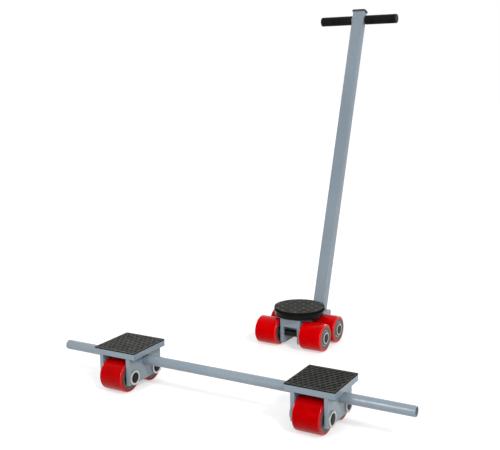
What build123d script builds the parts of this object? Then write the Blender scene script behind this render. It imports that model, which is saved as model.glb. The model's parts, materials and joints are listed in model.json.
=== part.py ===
from build123d import *
import os
from math import cos, radians, sin

# Machine skate set, in millimetres. X runs along the spacer bar, Y is the rolling direction with
# the drawbar at the +Y end, and Z is up from the floor. The origin is on the floor, under the
# middle of the whole set's outline.

# Wheels, bearings and axles
wheel_diameter = 80.0
wheel_length = 70.0
wheel_gap = 13.0
tyre_thickness = 8.0
tyre_edge_radius = 5.0
hub_bore_radius = 19.0
hub_edge_chamfer = 1.0
bearing_outer_radius = 23.5
bearing_width = 14.0
bearing_recess = 1.0
bearing_fit = 0.02
inner_ring_wall = 4.4
outer_ring_wall = 3.8
ball_radius = 3.9
ball_clearance = 0.06
balls_per_bearing = 8
seal_thickness = 1.0
seal_inset = 0.6
seal_clearance = 0.25
axle_radius = 10.0
axle_hole_clearance = 0.1
axle_end_stub = 1.0
axle_end_chamfer = 0.8

# Rings on the axles
washer_hole_clearance = 0.5
washer_width = 8.3
steer_washer_width = 6.3
washer_thickness = 3.0
spacer_wall = 2.9
spacer_bore_clearance = 0.1
circlip_thickness = 1.2
circlip_width = 3.8
circlip_groove_depth = 0.5
circlip_groove_play = 0.1
circlip_recess_clearance = 0.15
circlip_mouth = 3.0
circlip_lug_radius = 2.0
circlip_lug_hole_radius = 1.0
circlip_lug_angle = 17.0
circlip_turn = 35.0

# Rear skates and spacer bar
plate_width = 125.0
plate_thickness = 15.0
plate_end_margin = 20.0
plate_clearance = 13.0
plate_corner_radius = 2.0
plate_edge_radius = 1.0
pad_thickness = 3.5
side_plate_thickness = 10.0
side_plate_drop = 16.5
side_plate_edge_radius = 0.8
wheel_side_clearance = 1.5
bar_length = 980.0
bar_radius = 12.5
bar_wall = 2.5
bar_end_chamfer = 0.6
bar_clearance = 0.2
sleeve_radius = 16.85
sleeve_weld_clearance = 0.05
sleeve_plate_gap = 1.5
left_skate_x = -279.5
right_skate_x = 266.0
lock_boss_radius = 6.5
lock_boss_length = 8.0
lock_screw_radius = 4.0
lock_screw_length = 16.0
lock_screw_clearance = 0.05
lock_screw_bar_gap = 0.1
lock_screw_key = 4.0
lock_screw_key_depth = 5.0

# Steerable skate
unit_spacing = 505.5
steer_skate_x = -40.0
fork_side_clearance = 2.0
steer_plate_thickness = 10.0
steer_plate_drop = 30.0
steer_end_margin = 16.5
steer_corner_radius = 10.0
steer_wheel_offset = 5.0
bridge_height = 24.5
bridge_edge_radius = 0.8
fork_reach = 85.1
fork_height = 37.5
fork_rise = 26.5
fork_end_margin = 24.0
fork_corner_radius = 4.0
fork_slope_run = 24.0

# Swivel pad
round_pad_radius = 75.0
disc_inset = 1.5
disc_thickness = 15.0
disc_gap = 2.0
disc_edge_radius = 1.0
round_pad_thickness = 9.0
round_pad_edge_radius = 1.0
king_pin_radius = 8.5
king_pin_clearance = 0.1
king_pin_head_radius = 14.0
king_pin_head_thickness = 5.0
king_pin_head_clearance = 0.5
king_pin_key = 8.0
king_pin_key_depth = 3.0
king_pin_thread_stub = 3.0
king_nut_across_flats = 27.0
king_nut_thickness = 12.0
thrust_radius = 17.5
thrust_height = 12.0
thrust_seat_depth = 6.0
thrust_race_thickness = 3.6
thrust_seat_clearance = 0.1
thrust_ball_radius = 3.0
thrust_ball_pitch = 13.0
thrust_ball_clearance = 0.06
thrust_ball_count = 11

# Drawbar
drawbar_lean = 18.75
drawbar_width = 40.0
drawbar_depth = 25.0
drawbar_wall = 2.0
drawbar_corner_radius = 3.5
drawbar_reach = 1001.0
drawbar_tail = 15.0
cap_thickness = 5.0
cap_overhang = 3.0
cap_edge_radius = 1.5
cap_plug_length = 11.0
cap_plug_clearance = 0.1
pivot_bolt_radius = 8.0
pivot_clearance = 0.1
pivot_head_across_flats = 24.0
pivot_head_thickness = 10.0
pivot_washer_radius = 15.0
pivot_washer_thickness = 3.0
pivot_nut_thickness = 13.0
pivot_thread_stub = 4.0
fastener_seat_gap = 0.05
pivot_bush_radius = 10.2
pivot_bush_fit = 0.05
pivot_bush_end_play = 0.3
t_bar_radius = 10.0
t_bar_wall = 2.0
t_bar_drop = 32.5
t_bar_fit = 0.05
grip_span = 261.0
grip_radius = 14.5
grip_gap = 3.0
grip_end_wall = 3.0
grip_end_radius = 3.0
grip_fit = 0.1

# Heights above the floor
wheel_radius = wheel_diameter / 2
axle_height = wheel_radius
plate_bottom = wheel_diameter + plate_clearance
plate_top = plate_bottom + plate_thickness
load_height = plate_top + pad_thickness
bar_height = plate_bottom - sleeve_plate_gap - sleeve_radius
disc_top = load_height - round_pad_thickness
disc_bottom = disc_top - disc_thickness
bridge_top = disc_bottom - disc_gap
bridge_bottom = bridge_top - bridge_height

# Places across the skates, measured from each skate's middle
axle_reach = wheel_radius + wheel_gap / 2
plate_depth = 2 * (axle_reach + plate_end_margin)
rear_inner_face = wheel_length / 2 + wheel_side_clearance
rear_outer_face = rear_inner_face + side_plate_thickness
steer_gap = drawbar_width + 2 * fork_side_clearance
steer_inner_face = steer_gap / 2
steer_outer_face = steer_inner_face + steer_plate_thickness
steer_wheel_x = steer_outer_face + steer_wheel_offset + wheel_length / 2
steer_end = axle_reach + steer_end_margin
bearing_x = wheel_length / 2 - bearing_recess - bearing_width / 2
washer_hole_radius = axle_radius + washer_hole_clearance
washer_radius = washer_hole_radius + washer_width
steer_washer_radius = washer_hole_radius + steer_washer_width
spacer_bore = axle_radius + spacer_bore_clearance
spacer_radius = spacer_bore + spacer_wall
circlip_groove_radius = axle_radius - circlip_groove_depth
circlip_radius = circlip_groove_radius + circlip_width
circlip_lug_reach = circlip_radius - circlip_lug_radius
circlip_recess_radius = circlip_radius + circlip_recess_clearance
inner_ring_radius = axle_radius + inner_ring_wall
outer_ring_bore = bearing_outer_radius - outer_ring_wall
ball_pitch_radius = (inner_ring_radius + outer_ring_bore) / 2

# Places along the set: the outline runs from the rear wheels to the back corner of the drawbar's cap
lean = radians(drawbar_lean)
pivot_reach = axle_reach + fork_reach
cap_corner = (drawbar_reach + cap_thickness) * sin(lean) + (drawbar_depth / 2 + cap_overhang) * cos(lean)
cap_reach = cap_corner - cap_edge_radius * (sin(lean) + cos(lean) - 1)
rear_reach = axle_reach + wheel_radius
set_depth = rear_reach + unit_spacing + pivot_reach + cap_reach
rear_y = rear_reach - set_depth / 2
steer_y = rear_y + unit_spacing
pivot = (steer_skate_x, steer_y + pivot_reach, fork_height)
drawbar_plane = Plane(origin=pivot, x_dir=(1, 0, 0), z_dir=(0, sin(lean), cos(lean)))
drawbar_axis = Axis(pivot, drawbar_plane.z_dir)
t_bar_plane = drawbar_plane.offset(drawbar_reach + cap_thickness - t_bar_drop)

os.makedirs("parts", exist_ok=True)


def save(block, name):
    block.part.label = name
    export_step(block.part, f"parts/{name}.step")


def across(x, y, z, turn=0):
    # Plane square to X, with its own x along Y and its own y up, or turned from there in degrees.
    x_dir = (0, cos(radians(turn)), sin(radians(turn)))
    return Plane(origin=(x, y, z), x_dir=x_dir, z_dir=(1, 0, 0))


def along(x, y, z):
    # Plane through an axle, with its own x along the axle and its own y up.
    return Plane(origin=(x, y, z), x_dir=(1, 0, 0), z_dir=(0, -1, 0))


def axle_axis(y):
    return Axis((0, y, axle_height), (1, 0, 0))


# Wheel pieces


def make_tyre(name, x, y):
    with BuildPart() as tyre:
        with BuildSketch(along(x, y, axle_height)):
            with Locations((0, wheel_radius - tyre_thickness / 2)):
                Rectangle(wheel_length, tyre_thickness)
            outer_corners = vertices().group_by(Axis.Y)[-1]
            fillet(outer_corners, tyre_edge_radius)
        revolve(axis=axle_axis(y))
    save(tyre, name)


def make_hub(name, x, y):
    hub_radius = wheel_radius - tyre_thickness
    seat_radius = bearing_outer_radius + bearing_fit
    seat_depth = bearing_recess + bearing_width
    with BuildPart() as hub:
        with BuildSketch(along(x, y, axle_height)):
            with Locations((0, (hub_radius + hub_bore_radius) / 2)):
                Rectangle(wheel_length, hub_radius - hub_bore_radius)
            seats = [(side * (wheel_length - seat_depth) / 2, seat_radius / 2) for side in (-1, 1)]
            with Locations(*seats):
                Rectangle(seat_depth, seat_radius, mode=Mode.SUBTRACT)
            mouth_corners = vertices().group_by(Axis.X)[0] + vertices().group_by(Axis.X)[-1]
            chamfer(mouth_corners.group_by(Axis.Y)[0], hub_edge_chamfer)
        revolve(axis=axle_axis(y))
    save(hub, name)


def make_bearings(name, x, y):
    # Outer rings, seals and balls of both bearings: everything that turns with the wheel.
    seal_inner = inner_ring_radius + seal_clearance
    seal_outer = outer_ring_bore - seal_clearance
    seal_offset = bearing_width / 2 - seal_inset - seal_thickness / 2
    with BuildPart() as bearings:
        for side in (-1, 1):
            middle = x + side * bearing_x
            with BuildSketch(along(middle, y, axle_height)):
                with Locations((0, bearing_outer_radius - outer_ring_wall / 2)):
                    Rectangle(bearing_width, outer_ring_wall)
                with Locations((0, ball_pitch_radius)):
                    Circle(ball_radius + ball_clearance, mode=Mode.SUBTRACT)
                with Locations((-seal_offset, 0), (seal_offset, 0)):
                    with Locations((0, (seal_inner + seal_outer) / 2)):
                        Rectangle(seal_thickness, seal_outer - seal_inner)
            revolve(axis=axle_axis(y))
            with Locations(across(middle, y, axle_height)):
                with PolarLocations(ball_pitch_radius, balls_per_bearing):
                    Sphere(ball_radius)
    save(bearings, name)


def make_wheel(name, x, y):
    make_tyre(f"{name}_tyre", x, y)
    make_hub(f"{name}_hub", x, y)
    make_bearings(f"{name}_bearings", x, y)


# Axles and what is threaded on them


def make_axles(name, x, ys, circlip_face):
    # circlip_face is how far the inner face of the circlips lies from the skate's middle.
    half_length = circlip_face + circlip_thickness + axle_end_stub
    groove_width = circlip_thickness + circlip_groove_play
    with BuildPart() as axles:
        for y in ys:
            with BuildSketch(across(x - half_length, y, axle_height)):
                Circle(axle_radius)
            extrude(amount=2 * half_length)
        chamfer(edges().group_by(Axis.X)[0] + edges().group_by(Axis.X)[-1], axle_end_chamfer)
        for y in ys:
            for groove_start in (x + circlip_face, x - circlip_face - groove_width):
                with BuildSketch(across(groove_start, y, axle_height)):
                    Circle(axle_radius)
                    Circle(circlip_groove_radius, mode=Mode.SUBTRACT)
                extrude(amount=groove_width, mode=Mode.SUBTRACT)
    save(axles, name)


def make_axle_rings(name, ys, rings):
    # Each ring is its start and end along X, its bore radius and its outer radius.
    with BuildPart() as axle_rings:
        for y in ys:
            for start, end, bore, radius in rings:
                with BuildSketch(across(start, y, axle_height)):
                    Circle(radius)
                    Circle(bore, mode=Mode.SUBTRACT)
                extrude(amount=end - start)
    save(axle_rings, name)


def make_circlips(name, x, ys, circlip_face):
    lugs = PolarLocations(circlip_lug_reach, 2, 90 - circlip_lug_angle, 4 * circlip_lug_angle)
    with BuildPart() as circlips:
        for y in ys:
            for start in (x + circlip_face, x - circlip_face - circlip_thickness):
                with BuildSketch(across(start, y, axle_height, circlip_turn)):
                    Circle(circlip_radius)
                    with Locations((0, circlip_radius)):
                        Rectangle(circlip_mouth, circlip_radius, mode=Mode.SUBTRACT)
                    with lugs:
                        Circle(circlip_lug_radius)
                    with lugs:
                        Circle(circlip_lug_hole_radius, mode=Mode.SUBTRACT)
                    Circle(circlip_groove_radius + bearing_fit, mode=Mode.SUBTRACT)
                extrude(amount=circlip_thickness)
    save(circlips, name)


def make_inner_rings(name, wheel_xs, ys):
    with BuildPart() as inner_rings:
        for y in ys:
            for middle in [x + side * bearing_x for x in wheel_xs for side in (-1, 1)]:
                with BuildSketch(along(middle, y, axle_height)):
                    with Locations((0, inner_ring_radius - inner_ring_wall / 2 + bearing_fit / 2)):
                        Rectangle(bearing_width, inner_ring_wall - bearing_fit)
                    with Locations((0, ball_pitch_radius)):
                        Circle(ball_radius + ball_clearance, mode=Mode.SUBTRACT)
                revolve(axis=axle_axis(y))
    save(inner_rings, name)


# Rear skates


def make_load_plate(name, x):
    with BuildPart() as load_plate:
        with BuildSketch(Plane(origin=(x, rear_y, plate_bottom))):
            RectangleRounded(plate_width, plate_depth, plate_corner_radius)
        extrude(amount=plate_thickness)
        fillet(faces().sort_by(Axis.Z)[0].edges(), plate_edge_radius)
    save(load_plate, name)


def make_pad(name, x):
    with BuildPart() as pad:
        with BuildSketch(Plane(origin=(x, rear_y, plate_top))):
            RectangleRounded(plate_width, plate_depth, plate_corner_radius)
        extrude(amount=pad_thickness)
    save(pad, name)


def make_side_plates(name, x):
    height = plate_bottom - axle_height + side_plate_drop
    with BuildPart() as side_plates:
        for start in (x + rear_inner_face, x - rear_outer_face):
            with BuildSketch(across(start, rear_y, plate_bottom - height / 2)):
                Rectangle(plate_depth, height)
            extrude(amount=side_plate_thickness)
        fillet(edges().filter_by(Axis.Z), side_plate_edge_radius)
        for start in (x + rear_inner_face, x - rear_outer_face):
            with BuildSketch(across(start, rear_y, axle_height)):
                with Locations((-axle_reach, 0), (axle_reach, 0)):
                    Circle(axle_radius + axle_hole_clearance)
                with Locations((0, bar_height - axle_height)):
                    Circle(sleeve_radius + sleeve_weld_clearance)
            extrude(amount=side_plate_thickness, mode=Mode.SUBTRACT)
    save(side_plates, name)


def make_bar_sleeve(name, x):
    boss_top = bar_height - bar_radius - bar_clearance
    boss_bottom = bar_height - sleeve_radius - lock_boss_length
    with BuildPart() as bar_sleeve:
        with BuildSketch(across(x - rear_outer_face, rear_y, bar_height)):
            Circle(sleeve_radius)
        extrude(amount=2 * rear_outer_face)
        with BuildSketch(Plane(origin=(x, rear_y, boss_bottom))):
            Circle(lock_boss_radius)
        extrude(amount=boss_top - boss_bottom)
        with BuildSketch(across(x - rear_outer_face, rear_y, bar_height)):
            Circle(bar_radius + bar_clearance)
        extrude(amount=2 * rear_outer_face, mode=Mode.SUBTRACT)
        with BuildSketch(Plane(origin=(x, rear_y, boss_bottom))):
            Circle(lock_screw_radius + lock_screw_clearance)
        extrude(amount=bar_height - boss_bottom, mode=Mode.SUBTRACT)
    save(bar_sleeve, name)


def make_lock_screw(name, x):
    screw_top = bar_height - bar_radius - lock_screw_bar_gap
    with BuildPart() as lock_screw:
        with BuildSketch(Plane(origin=(x, rear_y, screw_top - lock_screw_length))):
            Circle(lock_screw_radius)
            RegularPolygon(lock_screw_key / 2, 6, major_radius=False, mode=Mode.SUBTRACT)
        extrude(amount=lock_screw_key_depth)
        with BuildSketch(Plane(origin=(x, rear_y, screw_top - lock_screw_length + lock_screw_key_depth))):
            Circle(lock_screw_radius)
        extrude(amount=lock_screw_length - lock_screw_key_depth)
    save(lock_screw, name)


def make_rear_skate(side, x):
    ring_face = rear_outer_face + washer_thickness
    circlip_face = ring_face - circlip_thickness
    bearing_face = wheel_length / 2 - bearing_recess
    ys = [rear_y + axle_reach, rear_y - axle_reach]
    rings = [
        (x + rear_outer_face, x + circlip_face, washer_hole_radius, washer_radius),
        (x + circlip_face, x + ring_face, circlip_recess_radius, washer_radius),
        (x - circlip_face, x - rear_outer_face, washer_hole_radius, washer_radius),
        (x - ring_face, x - circlip_face, circlip_recess_radius, washer_radius),
        (x + bearing_face, x + rear_inner_face, spacer_bore, spacer_radius),
        (x - rear_inner_face, x - bearing_face, spacer_bore, spacer_radius),
    ]
    make_load_plate(f"{side}_load_plate", x)
    make_pad(f"{side}_pad", x)
    make_side_plates(f"{side}_side_plates", x)
    make_bar_sleeve(f"{side}_bar_sleeve", x)
    make_lock_screw(f"{side}_lock_screw", x)
    make_axles(f"{side}_axles", x, ys, circlip_face)
    make_axle_rings(f"{side}_axle_washers", ys, rings)
    make_circlips(f"{side}_circlips", x, ys, circlip_face)
    make_inner_rings(f"{side}_inner_rings", [x], ys)
    for end, y in zip(("front", "rear"), ys):
        make_wheel(f"{side}_{end}_wheel", x, y)


make_rear_skate("left", left_skate_x)
make_rear_skate("right", right_skate_x)

with BuildPart() as spacer_bar:
    with BuildSketch(across(-bar_length / 2, rear_y, bar_height)):
        Circle(bar_radius)
        Circle(bar_radius - bar_wall, mode=Mode.SUBTRACT)
    extrude(amount=bar_length)
    chamfer(edges().group_by(Axis.X)[0] + edges().group_by(Axis.X)[-1], bar_end_chamfer)
save(spacer_bar, "spacer_bar")

# Steerable skate: the side plates run back to form the fork that holds the drawbar
steer_bottom = axle_height - steer_plate_drop
fork_y = pivot_reach + fork_end_margin
fork_top = fork_height + fork_rise
side_outline = [
    (-steer_end, bridge_top),
    (-steer_end, steer_bottom),
    (fork_y, steer_bottom),
    (fork_y, fork_top),
    (steer_end + fork_slope_run, fork_top),
    (steer_end, bridge_top),
]
with BuildPart() as steer_side_plates:
    for start in (steer_skate_x + steer_inner_face, steer_skate_x - steer_outer_face):
        with BuildSketch(across(start, steer_y, 0)):
            with BuildLine():
                Polyline(*side_outline, close=True)
            make_face()
            lower_corners = vertices().group_by(Axis.Y)[0]
            fillet(lower_corners, steer_corner_radius)
            top_fork_corner = vertices().group_by(Axis.X)[-1].sort_by(Axis.Y)[-1]
            fillet(top_fork_corner, fork_corner_radius)
            with Locations((-axle_reach, axle_height), (axle_reach, axle_height)):
                Circle(axle_radius + axle_hole_clearance, mode=Mode.SUBTRACT)
            with Locations((pivot_reach, fork_height)):
                Circle(pivot_bolt_radius + pivot_clearance, mode=Mode.SUBTRACT)
        extrude(amount=steer_plate_thickness)
save(steer_side_plates, "steer_side_plates")

# The bridge joins the side plates and seats the thrust bearing round the king pin
thrust_bottom = bridge_top - thrust_seat_depth
thrust_top = thrust_bottom + thrust_height
with BuildPart() as steer_bridge:
    with BuildSketch(Plane(origin=(steer_skate_x, steer_y, bridge_bottom))):
        Rectangle(steer_gap, 2 * steer_end)
    extrude(amount=bridge_height)
    with BuildSketch(Plane(origin=(steer_skate_x, steer_y, thrust_bottom))):
        Circle(thrust_radius + thrust_seat_clearance)
    extrude(amount=thrust_seat_depth, mode=Mode.SUBTRACT)
    with BuildSketch(Plane(origin=(steer_skate_x, steer_y, bridge_bottom))):
        Circle(king_pin_radius + king_pin_clearance)
    extrude(amount=bridge_height, mode=Mode.SUBTRACT)
    long_edges = edges().filter_by(Axis.X)
    fillet(long_edges, bridge_edge_radius)
save(steer_bridge, "steer_bridge")

steer_ys = [steer_y + axle_reach, steer_y - axle_reach]
steer_wheel_xs = [steer_skate_x - steer_wheel_x, steer_skate_x + steer_wheel_x]
steer_inner_bearing = steer_wheel_x - wheel_length / 2 + bearing_recess
steer_outer_bearing = steer_wheel_x + wheel_length / 2 - bearing_recess
steer_ring_face = steer_outer_bearing + washer_thickness
steer_circlip_face = steer_ring_face - circlip_thickness
steer_rings = []
for side in (-1, 1):
    spans = [
        (steer_outer_bearing, steer_circlip_face, washer_hole_radius, steer_washer_radius),
        (steer_circlip_face, steer_ring_face, circlip_recess_radius, steer_washer_radius),
        (steer_outer_face, steer_inner_bearing, spacer_bore, spacer_radius),
    ]
    for near, far, bore, radius in spans:
        start, end = sorted([side * near, side * far])
        steer_rings.append((steer_skate_x + start, steer_skate_x + end, bore, radius))
make_axles("steer_axles", steer_skate_x, steer_ys, steer_circlip_face)
make_axle_rings("steer_axle_washers", steer_ys, steer_rings)
make_circlips("steer_circlips", steer_skate_x, steer_ys, steer_circlip_face)
make_inner_rings("steer_inner_rings", steer_wheel_xs, steer_ys)
for end, wheel_y in zip(("front", "rear"), steer_ys):
    for side, wheel_x in zip(("left", "right"), steer_wheel_xs):
        make_wheel(f"steer_{end}_{side}_wheel", wheel_x, wheel_y)

# Swivel pad on its thrust bearing and king pin
swivel_axis = Axis((steer_skate_x, steer_y, 0), (0, 0, 1))
swivel_section = along(steer_skate_x, steer_y, 0)
pin_hole_radius = king_pin_radius + king_pin_clearance
head_seat_depth = king_pin_head_thickness + king_pin_head_clearance
head_bottom = disc_top - king_pin_head_thickness

with BuildPart() as swivel_disc:
    with BuildSketch(Plane(origin=(steer_skate_x, steer_y, disc_bottom))):
        Circle(round_pad_radius - disc_inset)
    extrude(amount=disc_thickness)
    fillet(edges().group_by(Axis.Z)[0], disc_edge_radius)
    with BuildSketch(Plane(origin=(steer_skate_x, steer_y, disc_bottom))):
        Circle(thrust_radius + thrust_seat_clearance)
    extrude(amount=thrust_top - disc_bottom, mode=Mode.SUBTRACT)
    with BuildSketch(Plane(origin=(steer_skate_x, steer_y, disc_top - head_seat_depth))):
        Circle(king_pin_head_radius + king_pin_head_clearance)
    extrude(amount=head_seat_depth, mode=Mode.SUBTRACT)
    with BuildSketch(Plane(origin=(steer_skate_x, steer_y, disc_bottom))):
        Circle(pin_hole_radius)
    extrude(amount=disc_thickness, mode=Mode.SUBTRACT)
save(swivel_disc, "swivel_disc")

with BuildPart() as swivel_pad:
    with BuildSketch(Plane(origin=(steer_skate_x, steer_y, disc_top))):
        Circle(round_pad_radius)
    extrude(amount=round_pad_thickness)
    fillet(edges().group_by(Axis.Z)[-1], round_pad_edge_radius)
save(swivel_pad, "swivel_pad")

with BuildPart() as thrust_lower_race:
    with BuildSketch(swivel_section):
        with Locations(((thrust_radius + pin_hole_radius) / 2, thrust_bottom + thrust_race_thickness / 2)):
            Rectangle(thrust_radius - pin_hole_radius, thrust_race_thickness)
        with Locations((thrust_ball_pitch, thrust_bottom + thrust_height / 2)):
            Circle(thrust_ball_radius + thrust_ball_clearance, mode=Mode.SUBTRACT)
    revolve(axis=swivel_axis)
save(thrust_lower_race, "thrust_lower_race")

with BuildPart() as thrust_upper_race:
    with BuildSketch(swivel_section):
        with Locations(((thrust_radius + pin_hole_radius) / 2, thrust_top - thrust_race_thickness / 2)):
            Rectangle(thrust_radius - pin_hole_radius, thrust_race_thickness)
        with Locations((thrust_ball_pitch, thrust_bottom + thrust_height / 2)):
            Circle(thrust_ball_radius + thrust_ball_clearance, mode=Mode.SUBTRACT)
    revolve(axis=swivel_axis)
    with Locations((steer_skate_x, steer_y, thrust_bottom + thrust_height / 2)):
        with PolarLocations(thrust_ball_pitch, thrust_ball_count):
            Sphere(thrust_ball_radius)
save(thrust_upper_race, "thrust_upper_race")

nut_bottom = bridge_bottom - king_nut_thickness
pin_bottom = nut_bottom - king_pin_thread_stub
with BuildPart() as king_pin:
    with BuildSketch(Plane(origin=(steer_skate_x, steer_y, pin_bottom))):
        Circle(king_pin_radius)
    extrude(amount=disc_top - pin_bottom)
    with BuildSketch(Plane(origin=(steer_skate_x, steer_y, head_bottom))):
        Circle(king_pin_head_radius)
    extrude(amount=king_pin_head_thickness)
    with BuildSketch(Plane(origin=(steer_skate_x, steer_y, disc_top - king_pin_key_depth))):
        RegularPolygon(king_pin_key / 2, 6, major_radius=False)
    extrude(amount=king_pin_key_depth, mode=Mode.SUBTRACT)
    with BuildSketch(Plane(origin=(steer_skate_x, steer_y, nut_bottom))):
        RegularPolygon(king_nut_across_flats / 2, 6, major_radius=False)
        Circle(pin_hole_radius, mode=Mode.SUBTRACT)
    extrude(amount=king_nut_thickness)
save(king_pin, "king_pin")

# Drawbar: tube, bush, pivot bolt, cap, T-bar and grips
pivot_y = pivot[1]
bush_half_length = steer_inner_face - pivot_bush_end_play
t_bar_center = t_bar_plane.origin

with BuildPart() as drawbar_tube:
    with BuildSketch(drawbar_plane.offset(-drawbar_tail)):
        RectangleRounded(drawbar_width, drawbar_depth, drawbar_corner_radius)
        RectangleRounded(
            drawbar_width - 2 * drawbar_wall,
            drawbar_depth - 2 * drawbar_wall,
            drawbar_corner_radius - drawbar_wall,
            mode=Mode.SUBTRACT,
        )
    extrude(amount=drawbar_reach + drawbar_tail)
    with BuildSketch(across(steer_skate_x, pivot_y, fork_height)):
        Circle(pivot_bush_radius + pivot_bush_fit)
    extrude(amount=drawbar_width, both=True, mode=Mode.SUBTRACT)
    with BuildSketch(across(steer_skate_x, t_bar_center.Y, t_bar_center.Z)):
        Circle(t_bar_radius + t_bar_fit)
    extrude(amount=drawbar_width, both=True, mode=Mode.SUBTRACT)
save(drawbar_tube, "drawbar_tube")

with BuildPart() as pivot_bush:
    with BuildSketch(across(steer_skate_x - bush_half_length, pivot_y, fork_height)):
        Circle(pivot_bush_radius)
        Circle(pivot_bolt_radius + pivot_clearance, mode=Mode.SUBTRACT)
    extrude(amount=2 * bush_half_length)
save(pivot_bush, "pivot_bush")

washer_seat = steer_outer_face + fastener_seat_gap
head_seat = washer_seat + pivot_washer_thickness + fastener_seat_gap
with BuildPart() as pivot_bolt:
    with BuildSketch(across(steer_skate_x - head_seat, pivot_y, fork_height)):
        Circle(pivot_bolt_radius)
    extrude(amount=2 * head_seat + pivot_nut_thickness + pivot_thread_stub)
    with BuildSketch(across(steer_skate_x - head_seat - pivot_head_thickness, pivot_y, fork_height)):
        RegularPolygon(pivot_head_across_flats / 2, 6, major_radius=False)
    extrude(amount=pivot_head_thickness)
    with BuildSketch(across(steer_skate_x + head_seat, pivot_y, fork_height)):
        RegularPolygon(pivot_head_across_flats / 2, 6, major_radius=False)
        Circle(pivot_bolt_radius + pivot_clearance, mode=Mode.SUBTRACT)
    extrude(amount=pivot_nut_thickness)
    for start in (washer_seat, -washer_seat - pivot_washer_thickness):
        with BuildSketch(across(steer_skate_x + start, pivot_y, fork_height)):
            Circle(pivot_washer_radius)
            Circle(pivot_bolt_radius + pivot_clearance, mode=Mode.SUBTRACT)
        extrude(amount=pivot_washer_thickness)
save(pivot_bolt, "pivot_bolt")

with BuildPart() as drawbar_cap:
    with BuildSketch(drawbar_plane.offset(drawbar_reach)):
        RectangleRounded(
            drawbar_width + 2 * cap_overhang,
            drawbar_depth + 2 * cap_overhang,
            drawbar_corner_radius + cap_overhang,
        )
    extrude(amount=cap_thickness)
    fillet(faces().sort_by(drawbar_axis)[-1].edges(), cap_edge_radius)
    with BuildSketch(drawbar_plane.offset(drawbar_reach - cap_plug_length)):
        RectangleRounded(
            drawbar_width - 2 * (drawbar_wall + cap_plug_clearance),
            drawbar_depth - 2 * (drawbar_wall + cap_plug_clearance),
            drawbar_corner_radius - drawbar_wall,
        )
    extrude(amount=cap_plug_length)
save(drawbar_cap, "drawbar_cap")

t_bar_half = grip_span / 2 - grip_end_wall
grip_inner_end = drawbar_width / 2 + grip_gap
with BuildPart() as t_bar:
    with BuildSketch(across(steer_skate_x - t_bar_half, t_bar_center.Y, t_bar_center.Z)):
        Circle(t_bar_radius)
        Circle(t_bar_radius - t_bar_wall, mode=Mode.SUBTRACT)
    extrude(amount=2 * t_bar_half)
save(t_bar, "t_bar")

with BuildPart() as grips:
    for side in (-1, 1):
        with BuildSketch(across(steer_skate_x + side * grip_inner_end, t_bar_center.Y, t_bar_center.Z)):
            Circle(grip_radius)
        extrude(amount=side * (grip_span / 2 - grip_inner_end))
    fillet(edges().filter_by(GeomType.CIRCLE), grip_end_radius)
    for side in (-1, 1):
        with BuildSketch(across(steer_skate_x + side * grip_inner_end, t_bar_center.Y, t_bar_center.Z)):
            Circle(t_bar_radius + grip_fit)
        extrude(amount=side * (t_bar_half - grip_inner_end), mode=Mode.SUBTRACT)
save(grips, "grips")
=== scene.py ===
import json
from math import cos, hypot, pi, radians, sin, tau

import bmesh
import bpy
from mathutils import Matrix, Vector
from mathutils.geometry import delaunay_2d_cdt


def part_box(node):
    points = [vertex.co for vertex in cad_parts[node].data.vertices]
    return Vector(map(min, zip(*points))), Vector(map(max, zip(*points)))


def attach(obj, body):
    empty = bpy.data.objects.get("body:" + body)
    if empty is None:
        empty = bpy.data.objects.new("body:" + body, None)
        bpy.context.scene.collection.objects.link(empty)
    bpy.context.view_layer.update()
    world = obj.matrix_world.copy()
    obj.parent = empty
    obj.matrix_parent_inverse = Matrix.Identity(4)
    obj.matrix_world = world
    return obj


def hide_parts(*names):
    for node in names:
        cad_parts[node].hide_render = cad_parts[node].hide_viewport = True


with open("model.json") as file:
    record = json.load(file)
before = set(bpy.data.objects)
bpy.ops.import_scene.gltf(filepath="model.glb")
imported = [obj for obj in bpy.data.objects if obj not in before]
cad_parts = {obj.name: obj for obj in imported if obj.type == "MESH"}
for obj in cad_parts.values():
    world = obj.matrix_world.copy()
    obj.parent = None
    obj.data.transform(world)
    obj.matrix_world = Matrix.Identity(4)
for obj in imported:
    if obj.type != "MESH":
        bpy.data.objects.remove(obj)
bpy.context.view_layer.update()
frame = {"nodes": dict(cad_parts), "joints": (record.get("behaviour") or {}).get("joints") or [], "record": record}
nodes = frame["nodes"]
joints = {joint["name"]: joint for joint in frame["joints"]}

# The looks of a machine skate set, in metres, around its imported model.


def middle(node):
    low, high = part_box(node)
    return (low + high) / 2


def half_size(node):
    low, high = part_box(node)
    return (high - low) / 2


# Places and sizes read from the frame
rear_y = middle("left_axles").y
steer_y = middle("steer_axles").y
axle_height = middle("left_axles").z
axle_reach = joints["left_front_wheel_spin"]["pos_m"][1] - rear_y
wheel_radius = half_size("left_front_wheel_tyre").z
tyre_half_width = half_size("left_front_wheel_tyre").x
bar_middle = middle("spacer_bar")
bar_half_length = half_size("spacer_bar").x
t_bar_middle = middle("t_bar")
grip_reach = half_size("grips").x
load_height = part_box("left_pad")[1].z
plate_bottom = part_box("left_load_plate")[0].z
units = {"rear": rear_y, "steer": steer_y}
wheel_pairs = {
    "rear": ("left_front_wheel_spin", "right_front_wheel_spin"),
    "steer": ("steer_front_left_wheel_spin", "steer_front_right_wheel_spin"),
}

# Spacer bar
bar_radius = 0.0125
bar_bore = 0.0100
bar_edge = 0.0006
bar_segments = 96

# Rear pads: lozenge recesses between narrow ridges one way and wide ridges the other
pad_border = 0.0040
pad_corner = 0.0020
pad_corner_steps = 6
pad_edge = 0.0006
lozenge_half_width = 0.0070
lozenge_half_length = 0.0125
narrow_ridge = 0.0013
wide_ridge = 0.0042
recess_depth = 0.0011
recess_slope = 0.0008
recess_shoulder = 0.35
least_cell_area = 0.000010

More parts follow.
